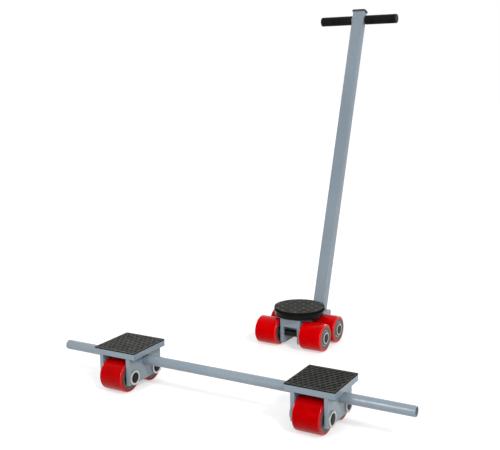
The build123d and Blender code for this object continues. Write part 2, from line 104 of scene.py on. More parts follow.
# Round pad: raised studs in a triangular pattern, each with a profile of (share of its radius, share
# of its height)
stud_pitch = 0.0250
stud_turn = 26.5
stud_radius = 0.0048
stud_height = 0.00065
stud_profile = ((1.0, 0.0), (0.95, 0.55), (0.87, 0.90), (0.74, 1.0))
stud_points = 20
stud_margin = 0.0036
round_pad_lip = 0.0022
round_pad_lip_height = 0.00015
round_pad_segments = 128
round_pad_edge = 0.0010

# Grips
grip_radius = 0.0145
grip_bore = 0.0101
grip_gap = 0.0030
grip_end_wall = 0.0030
grip_end_radius = 0.0030
grip_end_steps = 8
grip_straight_start = 1.3
grip_segments = 72
grip_vent_radius = 0.0016
grip_vent_depth = 0.0012
grip_vent_taper = 0.8

# Pivot bolt
bolt_radius = 0.0080
bolt_hole_radius = 0.0081
bolt_flat = 0.0120
bolt_face_radius = 0.0113
bolt_chamfer = 0.58
bolt_washer_radius = 0.0150
bolt_washer_thickness = 0.0030
bolt_washer_edge = 0.0003
bolt_seat_gap = 0.00005
bolt_nut_thickness = 0.0130
bolt_segments = 96
thread_pitch = 0.0020
thread_depth = 0.0011
thread_run_in = 0.0030
thread_end_taper = 0.0012
thread_rings_per_turn = 10

# Weld beads
weld_ripple_pitch = 0.0024
weld_ripple_depth = 0.09
weld_ripple_bow = 0.5
weld_steps_per_ripple = 5
weld_least_steps = 8
weld_end_size = 0.35
weld_end_growth = 0.5
weld_sink = 0.0002
fillet_bulge = 1.2
fillet_steps = 6
cap_steps = 8
plate_weld_leg = 0.0040
bridge_weld_leg = 0.0035
t_bar_weld_leg = 0.0024
sleeve_weld_width = 0.0036
sleeve_weld_height = 0.0010
sleeve_weld_radius = 0.01685
t_bar_radius = 0.0100

# Meshes: the middle of an eased edge as a share of its size, angles in degrees up to which they are
# shaded smooth, and lengths that count as none
edge_middle = 0.3
turned_sharp_angle = 35
bolt_sharp_angle = 25
relief_sharp_angle = 25
weld_sharp_angle = 60
merge_distance = 1e-6
least_edge = 1e-7
triangulation_gap = 1e-8

# Places where a finish changes: radii from an axle, a tyre's edge (distance from the axle and from the
# wheel's middle, added), heights, and distances along the bars
running_face = wheel_radius - 0.00085
tyre_edge = wheel_radius + tyre_half_width - 0.0040
seal_inner = 0.014525
seal_outer = 0.0196
washer_rim = 0.0180
dark_core_reach = 0.0138
scuffed_above = load_height - 0.0006
side_shade_below = load_height - 0.00145
grip_end = grip_reach - 0.0014
bore_wall = bar_bore + 0.0003
bore_painted_beyond = bar_half_length - 0.0275

# Noise stays near its middle, so its colours and its other numbers spread over these parts of its range
tone_range = (0.3, 0.7)
number_range = (0.2, 0.8)

# Edges, as the cosine between a rounded and a plain normal: none, and full
edge_cosines = (0.99, 0.80)
bevel_samples = 6


def srgb(red, green, blue):
    # A colour written as 0 to 255 display values, as linear light.
    shares = [value / 255 for value in (red, green, blue)]
    return [s / 12.92 if s <= 0.04045 else ((s + 0.055) / 1.055) ** 2.4 for s in shares] + [1.0]


def shade(colour, factor):
    return [channel * factor for channel in colour[:3]] + [1.0]


# Colours
paint_grey = srgb(134, 148, 159)
bare_steel = srgb(92, 94, 96)
satin_black = srgb(18, 18, 18)
# The rear tyres' red is set darker than the steer tyres' red: a painted shade on the same polyurethane.
tread_reds_with_painted_shade = {"rear": srgb(178, 0, 3), "steer": srgb(210, 0, 4)}
tread_tint = srgb(255, 12, 12)
hub_grey = srgb(72, 82, 78)
bearing_steel = srgb(178, 180, 180)
seal_black = srgb(26, 26, 27)
zinc_plate = srgb(203, 203, 200)
black_oxide = srgb(27, 26, 26)
pad_rubber = srgb(36, 36, 35)
# Each pad's scuffed grey also holds a painted sheen: the left pad, seen at a flatter angle, is the lighter.
pad_scuff_and_sheen_greys = {"left": srgb(102, 102, 100), "right": srgb(82, 82, 80), "swivel": srgb(105, 105, 103)}
grip_rubber = srgb(19, 19, 19)
# Grey of the grips' rubbed ends, which also paints their highlight.
grip_end_grey_and_highlight = srgb(66, 66, 66)
cap_plastic = srgb(42, 47, 62)
bush_bronze = srgb(176, 132, 72)


class Finish:
    """A node material in the making: each method adds nodes and returns their output."""

    def __init__(self, name):
        self.material = bpy.data.materials.new(name)
        self.material.use_nodes = True
        self.tree = self.material.node_tree
        self.shader = self.tree.nodes["Principled BSDF"]
        self.place = self.add("TexCoord").outputs["Object"]

    def add(self, kind, **settings):
        node = self.tree.nodes.new("ShaderNode" + kind)
        for name, value in settings.items():
            setattr(node, name, value)
        return node

    def feed(self, socket, value):
        if isinstance(value, bpy.types.NodeSocket):
            self.tree.links.new(value, socket)
        else:
            socket.default_value = value

    def shine(self, **inputs):
        for name, value in inputs.items():
            self.feed(self.shader.inputs[name.replace("_", " ")], value)

    def math(self, operation, *values):
        node = self.add("Math", operation=operation)
        for socket, value in zip(node.inputs, values):
            self.feed(socket, value)
        return node.outputs[0]

    def product(self, value, factor):
        return self.math("MULTIPLY", value, factor)

    def noise(self, grain, detail=2.0, stretch=(1, 1, 1)):
        # Noise with blotches of about this size, in metres.
        mapping = self.add("Mapping")
        self.feed(mapping.inputs["Vector"], self.place)
        mapping.inputs["Scale"].default_value = stretch
        node = self.add("TexNoise")
        self.feed(node.inputs["Vector"], mapping.outputs[0])
        node.inputs["Scale"].default_value = 1 / grain
        node.inputs["Detail"].default_value = detail
        return node.outputs["Fac"]

    def lines(self, axis, pitch):
        # Uneven lines across an axis.
        node = self.add("TexNoise", noise_dimensions="1D")
        self.feed(node.inputs["W"], self.along(axis))
        node.inputs["Scale"].default_value = 1 / pitch
        return node.outputs["Fac"]

    def rings(self, distance, pitch):
        return self.math("SINE", self.product(distance, tau / pitch))

    def spread(self, value, low, high, to_low=0.0, to_high=1.0):
        # Takes low to to_low and high to to_high, with a smooth change between them.
        node = self.add("MapRange", interpolation_type="SMOOTHSTEP")
        for socket, number in zip(node.inputs, (value, low, high, to_low, to_high)):
            self.feed(socket, number)
        return node.outputs[0]

    def past(self, value, limit, blur):
        # 1 above the limit and 0 below it.
        return self.spread(value, limit - blur / 2, limit + blur / 2)

    def before(self, value, limit, blur):
        # 1 below the limit and 0 above it.
        return self.spread(value, limit - blur / 2, limit + blur / 2, 1.0, 0.0)

    def vary(self, cloud, low, high):
        # A number that follows noise.
        return self.spread(cloud, *number_range, low, high)

    def follow(self, mask, low, high):
        # A number that is low where the mask is 0 and high where it is 1.
        return self.spread(mask, 0.0, 1.0, low, high)

    def mix(self, share, one, other):
        # A Mix node has sockets for numbers and vectors too: 6, 7 and output 2 are its colours.
        node = self.add("Mix", data_type="RGBA")
        self.feed(node.inputs[0], share)
        self.feed(node.inputs[6], one)
        self.feed(node.inputs[7], other)
        return node.outputs[2]

    def drift(self, cloud, colour, dark, light):
        # A colour that follows noise between two of its shades.
        return self.mix(self.spread(cloud, *tone_range), shade(colour, dark), shade(colour, light))

    def rounded_normal(self, radius):
        bevel = self.add("Bevel", samples=bevel_samples)
        bevel.inputs["Radius"].default_value = radius
        return bevel.outputs[0]

    def edges(self, radius):
        # 1 along convex and concave edges within this radius, 0 on the open surface.
        turn = self.add("VectorMath", operation="DOT_PRODUCT")
        self.feed(turn.inputs[0], self.rounded_normal(radius))
        self.feed(turn.inputs[1], self.add("NewGeometry").outputs["Normal"])
        return self.spread(turn.outputs["Value"], *edge_cosines)

    def bump(self, height, depth, strength=1.0, rounding=0.0):
        # Small relief, over edges that are rounded to this radius.
        node = self.add("Bump")
        node.inputs["Strength"].default_value = strength
        node.inputs["Distance"].default_value = depth
        self.feed(node.inputs["Height"], height)
        if rounding:
            self.feed(node.inputs["Normal"], self.rounded_normal(rounding))
        self.feed(self.shader.inputs["Normal"], node.outputs[0])

    def along(self, axis):
        split = self.add("SeparateXYZ")
        self.feed(split.inputs[0], self.place)
        return split.outputs[axis]

    def apart(self, axis, place):
        # Distance along one axis from a place on it.
        return self.math("ABSOLUTE", self.math("SUBTRACT", self.along(axis), place))

    def hypotenuse(self, one, other):
        return self.math("SQRT", self.math("ADD", self.product(one, one), self.product(other, other)))

    def axle_distance(self, unit):
        # Distance from the nearer axle of one unit.
        ahead = self.math("SUBTRACT", self.apart("Y", units[unit]), axle_reach)
        return self.hypotenuse(ahead, self.apart("Z", axle_height))

    def wheel_offset(self, unit):
        # Distance along X from the middle of the nearer wheel of one unit.
        one, other = (joints[name]["pos_m"][0] for name in wheel_pairs[unit])
        beyond = self.math("SUBTRACT", self.apart("X", (one + other) / 2), (other - one) / 2)
        return self.math("ABSOLUTE", beyond)

    def bar_distance(self):
        # Distance from the middle line of the spacer bar.
        return self.hypotenuse(self.apart("Y", bar_middle.y), self.apart("Z", bar_middle.z))


# Materials


def paint_finish(name, colour, wear, mirror=0.5, has_bore=False, peel_depth=0.000012):
    # Sprayed paint: slight drift in tone, orange peel, thinner and paler along edges, where the paler
    # line is also a painted highlight, with small chips where an edge was knocked. In a pipe's bore the
    # paint, a little darker, thins out from the ends into dark steel; this darkening also paints the bore's shade.
    finish = Finish(name)
    mottle = finish.noise(grain=0.009, detail=3.0)
    tone = finish.drift(finish.noise(grain=0.14), colour, dark=0.94, light=1.06)
    blotches = finish.spread(mottle, low=0.45, high=0.75, to_high=0.5)
    tone = finish.mix(blotches, tone, shade(colour, factor=0.90))
    edge = finish.edges(radius=0.0011)
    # Paler along edges: thinner paint there, and also a painted highlight along every corner.
    thin_paint_and_highlight = finish.product(edge, finish.spread(mottle, *tone_range, to_low=0.25, to_high=0.8))
    tone = finish.mix(thin_paint_and_highlight, tone, shade(colour, factor=1.4))
    flaked = finish.spread(finish.noise(grain=0.0045, detail=4.0), low=0.60, high=0.64, to_high=wear)
    knocked = finish.spread(finish.noise(grain=0.045), low=0.53, high=0.60)
    chips = finish.product(edge, finish.product(flaked, knocked))
    tone = finish.mix(chips, tone, bare_steel)
    if has_bore:
        within = finish.before(finish.bar_distance(), bore_wall, blur=0.0006)
        painted = finish.past(finish.apart("X", bar_middle.x), bore_painted_beyond, blur=0.035)
        # Paint a little darker at the mouth and dark steel further in: partly painted shade inside the bore.
        bore_steel_and_shade = finish.mix(painted, shade(bare_steel, factor=0.35), shade(colour, factor=0.8))
        tone = finish.mix(within, tone, bore_steel_and_shade)
    finish.shine(
        Base_Color=tone,
        Roughness=finish.vary(mottle, low=0.17, high=0.27),
        Specular_IOR_Level=mirror,
    )
    peel = finish.noise(grain=0.0016, detail=1.0)
    relief = finish.math("SUBTRACT", peel, finish.product(chips, factor=2.0))
    finish.bump(relief, depth=peel_depth, rounding=0.0007)
    return finish.material


def tread_finish(name, unit):
    # Cast polyurethane: saturated red, glossy, with fine turning lines and a scuffed running face.
    # The rounded edges are moulded, not turned, and have the highest gloss.
    finish = Finish(name)
    # The rear red holds a painted shade.
    red = tread_reds_with_painted_shade[unit]
    distance = finish.axle_distance(unit)
    running = finish.past(distance, running_face, blur=0.0013)
    rounded = finish.past(finish.math("ADD", distance, finish.wheel_offset(unit)), tyre_edge, blur=0.0018)
    scuff = finish.noise(grain=0.006, detail=4.0, stretch=(1.0, 0.35, 0.35))
    worn = finish.product(running, finish.spread(scuff, low=0.48, high=0.72))
    tone = finish.drift(finish.noise(grain=0.035, detail=3.0), red, dark=0.90, light=1.08)
    tone = finish.mix(finish.product(worn, factor=0.22), tone, shade(red, factor=0.66))
    finish.shine(
        Base_Color=tone,
        Roughness=finish.follow(worn, low=0.15, high=0.28),
        Specular_IOR_Level=0.2,
        Specular_Tint=tread_tint,
        Coat_Weight=finish.follow(rounded, low=0.0, high=0.65),
        Coat_Roughness=0.05,
    )
    finish.bump(finish.math("ADD", finish.lines("X", pitch=0.0004), worn), depth=0.0000012)
    return finish.material


def hub_finish(name, unit):
    # Cast iron, faced on a lathe: fine rings over a mottled dark grey.
    finish = Finish(name)
    mottle = finish.noise(grain=0.0035, detail=4.0)
    rings = finish.rings(finish.axle_distance(unit), pitch=0.0011)
    tone = finish.drift(mottle, hub_grey, dark=0.75, light=1.25)
    crests = finish.spread(rings, low=0.2, high=1.0, to_high=0.25)
    tone = finish.mix(crests, tone, shade(hub_grey, factor=1.7))
    finish.shine(Base_Color=tone, Metallic=0.35, Roughness=finish.vary(mottle, low=0.42, high=0.60))
    relief = finish.math("ADD", rings, finish.product(mottle, factor=3.0))
    finish.bump(relief, depth=0.00001, rounding=0.0005)
    return finish.material


def bearing_finish(name, unit):
    # Ground steel rings with a black rubber seal between them.
    finish = Finish(name)
    distance = finish.axle_distance(unit)
    past_inner = finish.past(distance, seal_inner, blur=0.00015)
    before_outer = finish.before(distance, seal_outer, blur=0.0001)
    seal = finish.product(past_inner, before_outer)
    steel = finish.drift(finish.noise(grain=0.004, detail=3.0), bearing_steel, dark=0.42, light=0.58)
    finish.shine(
        Base_Color=finish.mix(seal, steel, seal_black),
        Metallic=finish.math("SUBTRACT", 1.0, seal),
        Roughness=finish.follow(seal, low=0.30, high=0.55),
    )
    finish.bump(finish.rings(distance, pitch=0.0006), depth=0.000006)
    return finish.material


def zinc_finish(name, unit):
    # Bright zinc plate: faint concentric lines, a little cloudiness, darker along edges, a painted
    # shade, and darker towards the rim of a washer; dark close to the axles.
    finish = Finish(name)
    cloud = finish.noise(grain=0.006, detail=3.0)
    distance = finish.axle_distance(unit)
    dull = shade(zinc_plate, factor=0.62)
    tone = finish.drift(cloud, zinc_plate, dark=0.88, light=1.04)
    # Painted shade along the edges, and darker towards the washer's rim.
    tone = finish.mix(finish.product(finish.edges(radius=0.0005), factor=0.5), tone, dull)
    tone = finish.mix(finish.past(distance, washer_rim, blur=0.0008), tone, dull)
    # Darker close to the axles.
    dark_near_axle = finish.before(distance, dark_core_reach, blur=0.0004)
    tone = finish.mix(dark_near_axle, tone, shade(zinc_plate, factor=0.10))
    finish.shine(Base_Color=tone, Metallic=0.6, Roughness=finish.vary(cloud, low=0.36, high=0.50))
    finish.bump(finish.rings(distance, pitch=0.0009), depth=0.000004, rounding=0.0004)
    return finish.material


def oxide_finish(name, unit):
    # Blackened steel, turned at the ends, rubbed bright along its edges.
    finish = Finish(name)
    mottle = finish.noise(grain=0.004, detail=3.0)
    patches = finish.spread(mottle, low=0.4, high=0.7, to_low=0.1, to_high=0.6)
    rubbed = finish.product(finish.edges(radius=0.0006), patches)
    tone = finish.drift(mottle, black_oxide, dark=0.7, light=1.3)
    tone = finish.mix(rubbed, tone, bare_steel)
    finish.shine(
        Base_Color=tone,
        Metallic=0.35,
        Roughness=finish.vary(mottle, low=0.34, high=0.5),
        Specular_IOR_Level=0.12,
    )
    finish.bump(finish.rings(finish.axle_distance(unit), pitch=0.0008), depth=0.000006, rounding=0.0004)
    return finish.material


def pad_finish(name, scuff_and_sheen_grey):
    # Moulded rubber: scuffed grey on whatever stands highest, where each pad's grey also holds a painted
    # sheen that differs from pad to pad, and a painted shade on the sides below the face.
    finish = Finish(name)
    grain = finish.noise(grain=0.0011, detail=3.0)
    blotch = finish.noise(grain=0.018, detail=3.0)
    height = finish.along("Z")
    raised = finish.past(height, scuffed_above, blur=0.0010)
    scuffed = finish.product(raised, finish.spread(blotch, low=0.25, high=0.75, to_low=0.55))
    tone = finish.drift(grain, pad_rubber, dark=0.8, light=1.2)
    # The scuffed grey also holds a painted sheen.
    tone = finish.mix(scuffed, tone, scuff_and_sheen_grey)
    # Painted shade: the pad's sides below the face are darker than the same rubber on top.
    shaded_side = finish.before(height, side_shade_below, blur=0.0005)
    tone = finish.mix(shaded_side, tone, shade(pad_rubber, factor=0.5))
    finish.shine(
        Base_Color=tone,
        Roughness=finish.follow(scuffed, low=0.75, high=0.90),
        Specular_IOR_Level=0.0,
    )
    finish.bump(grain, depth=0.00008, strength=0.6)
    return finish.material


def grip_finish(name):
    # Soft black rubber with a fine grain, polished a little where hands hold it, rubbed grey at the
    # outer ends, where the grey also paints the highlight that the rounded ends catch.
    finish = Finish(name)
    handled = finish.spread(finish.noise(grain=0.03), low=0.35, high=0.65)
    rubbed_and_lit_end = finish.past(finish.apart("X", t_bar_middle.x), grip_end, blur=0.0016)
    tone = finish.mix(handled, shade(grip_rubber, factor=0.8), shade(grip_rubber, factor=1.35))
    # Grey at the outer ends: rubbing, and a painted highlight.
    tone = finish.mix(finish.product(rubbed_and_lit_end, factor=0.75), tone, grip_end_grey_and_highlight)
    finish.shine(
        Base_Color=tone,
        Roughness=finish.follow(handled, low=0.62, high=0.46),
        Specular_IOR_Level=0.06,
    )
    finish.bump(finish.noise(grain=0.0009), depth=0.00006, strength=0.5)
    return finish.material


def cap_finish(name):
    # Injection-moulded plastic with a fine texture and paler, rubbed edges.
    finish = Finish(name)
    blotch = finish.noise(grain=0.012)
    tone = finish.drift(blotch, cap_plastic, dark=0.9, light=1.12)
    rubbed = finish.product(finish.edges(radius=0.0008), factor=0.35)
    tone = finish.mix(rubbed, tone, shade(cap_plastic, factor=2.2))
    finish.shine(Base_Color=tone, Roughness=finish.vary(blotch, low=0.40, high=0.52))
    finish.bump(finish.noise(grain=0.0007), depth=0.00003, strength=0.6)
    return finish.material


def bronze_finish(name):
    # Sintered bronze: speckled with pores, dull.
    finish = Finish(name)
    pores = finish.spread(finish.noise(grain=0.0008, detail=3.0), low=0.52, high=0.62)
    tone = finish.mix(pores, bush_bronze, shade(bush_bronze, factor=0.45))
    finish.shine(Base_Color=tone, Metallic=0.9, Roughness=finish.follow(pores, low=0.36, high=0.6))
    finish.bump(pores, depth=-0.00004)
    return finish.material


paint = paint_finish("paint", paint_grey, wear=0.9)
bar_paint = paint_finish("bar_paint", paint_grey, wear=0.9, mirror=0.65, has_bore=True, peel_depth=0.000003)
pad_rubbers = {pad: pad_finish(f"{pad}_pad_rubber", grey) for pad, grey in pad_scuff_and_sheen_greys.items()}
grip_material = grip_finish("grip_rubber")
shared_finishes = {
    "paint": paint,
    "black_paint": paint_finish("black_paint", satin_black, wear=0.6, mirror=0.08),
    "pad": pad_rubbers["swivel"],
    "grip": grip_material,
    "cap": cap_finish("cap"),
    "bush": bronze_finish("bush"),
}


def unit_finishes(unit):
    # The finishes that follow one unit's axles, beside those that both units share.
    return shared_finishes | {
        "tread": tread_finish(f"tread_{unit}", unit),
        "hub": hub_finish(f"hub_{unit}", unit),
        "bearing": bearing_finish(f"bearing_{unit}", unit),
        "zinc": zinc_finish(f"zinc_{unit}", unit),
        "axle": oxide_finish(f"black_oxide_{unit}", unit),
    }


finishes = {unit: unit_finishes(unit) for unit in units}

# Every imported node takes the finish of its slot
for subpart in frame["record"]["subparts"]:
    node = subpart["node"]
    nearer_unit = min(units, key=lambda unit: abs(middle(node).y - units[unit]))
    nodes[node].material_slots[0].material = finishes[nearer_unit][subpart["material_slot"]]


# Meshes


def add_piece(name, mesh, material, body, slot, *replaced):
    piece = bpy.data.objects.new(name, mesh)
    bpy.context.scene.collection.objects.link(piece)
    mesh.materials.append(material)
    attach(piece, body)
    if replaced:
        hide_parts(*replaced)


def close_mesh(name, shape, sharp_angle):
    # Joins the shape's seams, turns its faces outwards and shades it smooth up to the sharp angle.
    bmesh.ops.remove_doubles(shape, verts=shape.verts, dist=merge_distance)
    bmesh.ops.recalc_face_normals(shape, faces=shape.faces)
    mesh = bpy.data.meshes.new(name)
    shape.to_mesh(mesh)
    shape.free()
    mesh.shade_smooth()
    mesh.set_sharp_from_angle(angle=radians(sharp_angle))
    return mesh


def add_rings(shape, rings, closed=False):
    # Faces between rings of as many points each, and from the last ring to the first if closed.
    corners = [[shape.verts.new(point) for point in ring] for ring in rings]
    pairs = list(zip(corners, corners[1:]))
    if closed:
        pairs.append((corners[-1], corners[0]))
    for one, other in pairs:
        for i in range(len(one)):
            j = (i + 1) % len(one)
            shape.faces.new((one[i], one[j], other[j], other[i]))
    return corners


def turned_ring(point, centre, segments):
    # A ring about the line along X through centre. The point is (distance along X, radius), or a
    # function from the angle to such a pair.
    ring = []
    for i in range(segments):
        turn = tau * i / segments
        along, radius = point(turn) if callable(point) else point
        ring.append(centre + Vector((along, radius * cos(turn), radius * sin(turn))))
    return ring


def lathe(name, profiles, centre, segments, sharp_angle):
    # One mesh from profiles of (points, closed), turned about the line along X through centre.
    shape = bmesh.new()
    for points, closed in profiles:
        add_rings(shape, [turned_ring(point, centre, segments) for point in points], closed)
    bmesh.ops.dissolve_degenerate(shape, dist=least_edge, edges=shape.edges)
    return close_mesh(name, shape, sharp_angle)


def arc(centre, radius, start, end, steps):
    # Points of an arc, with its angles in degrees.
    turns = [radians(start + (end - start) * i / steps) for i in range(steps + 1)]
    return [(centre[0] + radius * cos(t), centre[1] + radius * sin(t)) for t in turns]


def circle(centre, radius, points):
    return arc(centre, radius, 0, 360, points)[:-1]


def eased_edge(size):
    # A rounded edge of two flats, as (inwards from the side, down from the face).
    return [(0, size), (edge_middle * size, edge_middle * size), (size, 0)]


# Spacer bar


def make_bar():
    edge = eased_edge(bar_edge)
    straight = bar_half_length - 2 * bar_edge
    end = [(straight, bar_radius)]
    end += [(bar_half_length - down, bar_radius - inset) for inset, down in edge]
    end += [(bar_half_length - down, bar_bore + inset) for inset, down in reversed(edge)]
    end += [(straight, bar_bore)]
    profile = end + [(-along, radius) for along, radius in reversed(end)]
    mesh = lathe("spacer_bar_pipe", [(profile, True)], bar_middle, bar_segments, turned_sharp_angle)
    add_piece("spacer_bar_pipe", mesh, bar_paint, "spacer_bar", "paint", "spacer_bar")


# Pads


def inside(point, polygon):
    # For a convex polygon whose points run anticlockwise.
    sides = zip(polygon, polygon[1:] + polygon[:1])
    return all((b[0] - a[0]) * (point[1] - a[1]) - (b[1] - a[1]) * (point[0] - a[0]) > 0 for a, b in sides)


def area(polygon):
    sides = zip(polygon, polygon[1:] + polygon[:1])
    return sum(a[0] * b[1] - b[0] * a[1] for a, b in sides) / 2


def clip(polygon, axis, limit, sign):
    # The part of a polygon where sign times the coordinate is at most sign times the limit.
    kept = []
    for a, b in zip(polygon, polygon[1:] + polygon[:1]):
        over_a, over_b = sign * (a[axis] - limit), sign * (b[axis] - limit)
        if over_a <= 0:
            kept.append(a)
        if (over_a < 0 < over_b) or (over_b < 0 < over_a):
            t = over_a / (over_a - over_b)
            kept.append((a[0] + t * (b[0] - a[0]), a[1] + t * (b[1] - a[1])))
    return kept


def shrink(polygon, share):
    x = sum(p[0] for p in polygon) / len(polygon)
    y = sum(p[1] for p in polygon) / len(polygon)
    return [(x + share * (p[0] - x), y + share * (p[1] - y)) for p in polygon]


def raise_to(points, height, centre):
    return [(centre.x + x, centre.y + y, height) for x, y in points]


def relief_pad(name, centre, rim, face_height, cells, cell_rings):
    # A closed pad. rim holds the outline's loops from the bottom to the face, as (points, height);
    # each cell is a hole in the face, closed by loops of (share of the cell's size, height).
    shape = bmesh.new()
    corners = add_rings(shape, [raise_to(points, height, centre) for points, height in rim])
    shape.faces.new(corners[0])
    points, edges = [], []
    for outline in [rim[-1][0], *cells]:
        first = len(points)
        points += [Vector(p) for p in outline]
        edges += [(first + i, first + (i + 1) % len(outline)) for i in range(len(outline))]
    found, _, triangles, *_ = delaunay_2d_cdt(points, edges, [], 1, triangulation_gap)
    face_corners = [shape.verts.new(p) for p in raise_to(found, face_height, centre)]
    for triangle in triangles:
        centroid = sum((found[i] for i in triangle), Vector((0, 0))) / 3
        if not any(inside(centroid, cell) for cell in cells):
            shape.faces.new([face_corners[i] for i in triangle])
    for cell in cells:
        loops = [raise_to(shrink(cell, share), height, centre) for share, height in cell_rings]
        shape.faces.new(add_rings(shape, loops)[-1])
    return close_mesh(name, shape, relief_sharp_angle)


def rounded_outline(half_x, half_y, inset):
    points = []
    for quarter, (sx, sy) in enumerate(((1, 1), (-1, 1), (-1, -1), (1, -1))):
        corner = (sx * (half_x - pad_corner), sy * (half_y - pad_corner))
        points += arc(corner, pad_corner - inset, 90 * quarter, 90 * quarter + 90, pad_corner_steps)
    return points


def lozenge_cells(half_x, half_y):
    # Lozenges between the ridges, in rows that are offset by half, cut off at the pad's border.
    spacing = 2 * lozenge_half_width * lozenge_half_length / hypot(lozenge_half_width, lozenge_half_length)
    a, b = (1 - narrow_ridge / spacing) / 2, (1 - wide_ridge / spacing) / 2
    corners = [(a - b, a + b), (-a - b, b - a), (b - a, -a - b), (a + b, a - b)]
    rows = int(half_y / lozenge_half_length) + 1
    columns = int(half_x / lozenge_half_width / 2) + 1
    cells = []
    for row in range(-rows, rows + 1):
        for column in range(-columns, columns + 1):
            x = (2 * column + row % 2) * lozenge_half_width
            y = row * lozenge_half_length
            cell = [(x + u * lozenge_half_width, y + v * lozenge_half_length) for u, v in corners]
            for axis, limit in ((0, half_x), (1, half_y)):
                cell = clip(cell, axis, limit, 1)
                cell = clip(cell, axis, -limit, -1)
            if len(cell) > 2 and area(cell) > least_cell_area:
                cells.append(cell)
    return cells


def make_rear_pad(side):
    low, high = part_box(f"{side}_pad")
    half = half_size(f"{side}_pad")
    insets = [(0, low.z)] + [(inset, high.z - down) for inset, down in eased_edge(pad_edge)]
    rim = [(rounded_outline(half.x, half.y, inset), height) for inset, height in insets]
    cells = lozenge_cells(half.x - pad_border, half.y - pad_border)
    floor_share = 1 - recess_slope / lozenge_half_width
    cell_rings = [
        (1.0, high.z),
        ((1 + floor_share) / 2, high.z - recess_depth * recess_shoulder),
        (floor_share, high.z - recess_depth),
    ]
    name = f"{side}_tread_pad"
    mesh = relief_pad(name, middle(f"{side}_pad"), rim, high.z, cells, cell_rings)
    add_piece(name, mesh, pad_rubbers[side], f"{side}_skate", "pad", f"{side}_pad")


def stud_cells(reach):
    # Studs whose middles lie within this reach of the pad's middle.
    cells = []
    rows = int(reach / stud_pitch) + 2
    row_pitch = stud_pitch * cos(radians(30))
    for row in range(-rows, rows + 1):
        for place in range(-rows, rows + 1):
            point = Vector(((place + (row % 2) / 2) * stud_pitch, row * row_pitch))
            point.rotate(Matrix.Rotation(radians(stud_turn), 2))
            if point.length <= reach:
                cells.append(circle(point, stud_radius, stud_points))
    return cells


def make_round_pad():
    low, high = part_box("swivel_pad")
    radius = half_size("swivel_pad").x
    face = high.z - stud_height
    lip = face + round_pad_lip_height
    insets = [(0, low.z)] + [(inset, lip - down) for inset, down in eased_edge(round_pad_edge)]
    insets += [(round_pad_lip, lip), (round_pad_lip + 2 * round_pad_lip_height, face)]
    rim = [(circle((0, 0), radius - inset, round_pad_segments), height) for inset, height in insets]
    cells = stud_cells(radius - stud_radius - stud_margin)
    cell_rings = [(share, face + stud_height * rise) for share, rise in stud_profile]
    mesh = relief_pad("swivel_tread_pad", middle("swivel_pad"), rim, face, cells, cell_rings)
    add_piece("swivel_tread_pad", mesh, pad_rubbers["swivel"], "swivel", "pad", "swivel_pad")


# Grips


def grip_profile():
    # From the vent in the closed outer end, over the outside and back through the bore.
    inner_end = half_size("drawbar_tube").x + grip_gap
    bore_end = grip_reach - grip_end_wall
    straight_start = grip_straight_start * grip_end_radius
    corner_height = grip_radius - grip_end_radius
    profile = [
        (grip_reach - grip_vent_depth, 0),
        (grip_reach - grip_vent_depth, grip_vent_radius * grip_vent_taper),
        (grip_reach, grip_vent_radius),
    ]
    profile += arc((grip_reach - grip_end_radius, corner_height), grip_end_radius, 0, 90, grip_end_steps)
    profile += [(grip_reach - straight_start, grip_radius), (inner_end + straight_start, grip_radius)]
    profile += arc((inner_end + grip_end_radius, corner_height), grip_end_radius, 90, 180, grip_end_steps)
    profile += [(inner_end, grip_bore), (bore_end, grip_bore), (bore_end, 0)]
    return profile


def make_grips():
    for name, sign in (("left_grip", -1), ("right_grip", 1)):
        profile = [(sign * along, radius) for along, radius in grip_profile()]
        mesh = lathe(name, [(profile, False)], t_bar_middle, grip_segments, turned_sharp_angle)
        add_piece(name, mesh, grip_material, "drawbar", "grip", "grips")


# Pivot bolt


def hexagon(turn):
    return bolt_flat / cos(turn % (pi / 3) - pi / 6)


def hexagon_edge(face, inward):
    # The edge of a hexagon where the chamfer that starts at the face meets its flats.
    return lambda turn: (face + inward * bolt_chamfer * (hexagon(turn) - bolt_face_radius), hexagon(turn))


def thread_ring(along, end):
    # A ring of the thread at this distance along X, and of the taper at the end of the bolt.
    def place(turn):
        groove = thread_depth * (0.5 - 0.5 * cos(tau * along / thread_pitch - turn))
        taper = max(0.0, along - (end - thread_end_taper))
        return along, min(bolt_radius - groove, bolt_radius - taper)
    return place


def bolt_profile(head, seat, thread_start, end):
    # A hexagon head, whose seat lies on the other side, a shank and a thread.
    rings = round((end - thread_start) / thread_pitch * thread_rings_per_turn)
    thread = [thread_ring(thread_start + (end - thread_start) * i / rings, end) for i in range(1, rings + 1)]
    return [
        (head, 0),
        (head, bolt_face_radius),
        hexagon_edge(head, 1),
        lambda turn: (-seat, hexagon(turn)),
        (-seat, bolt_radius),
        (thread_start, bolt_radius),
        *thread,
        (end, 0),
    ]


def nut_profile(seat, end):
    return [
        (seat, bolt_hole_radius),
        (seat, bolt_face_radius),
        hexagon_edge(seat, 1),
        hexagon_edge(end, -1),
        (end, bolt_face_radius),
        (end, bolt_hole_radius),
    ]


def washer_profile(start, end, side):
    profile = [
        (start, bolt_hole_radius),
        (start, bolt_washer_radius - bolt_washer_edge),
        (start + bolt_washer_edge, bolt_washer_radius),
        (end - bolt_washer_edge, bolt_washer_radius),
        (end, bolt_washer_radius - bolt_washer_edge),
        (end, bolt_hole_radius),
    ]
    return [(side * along, radius) for along, radius in profile]


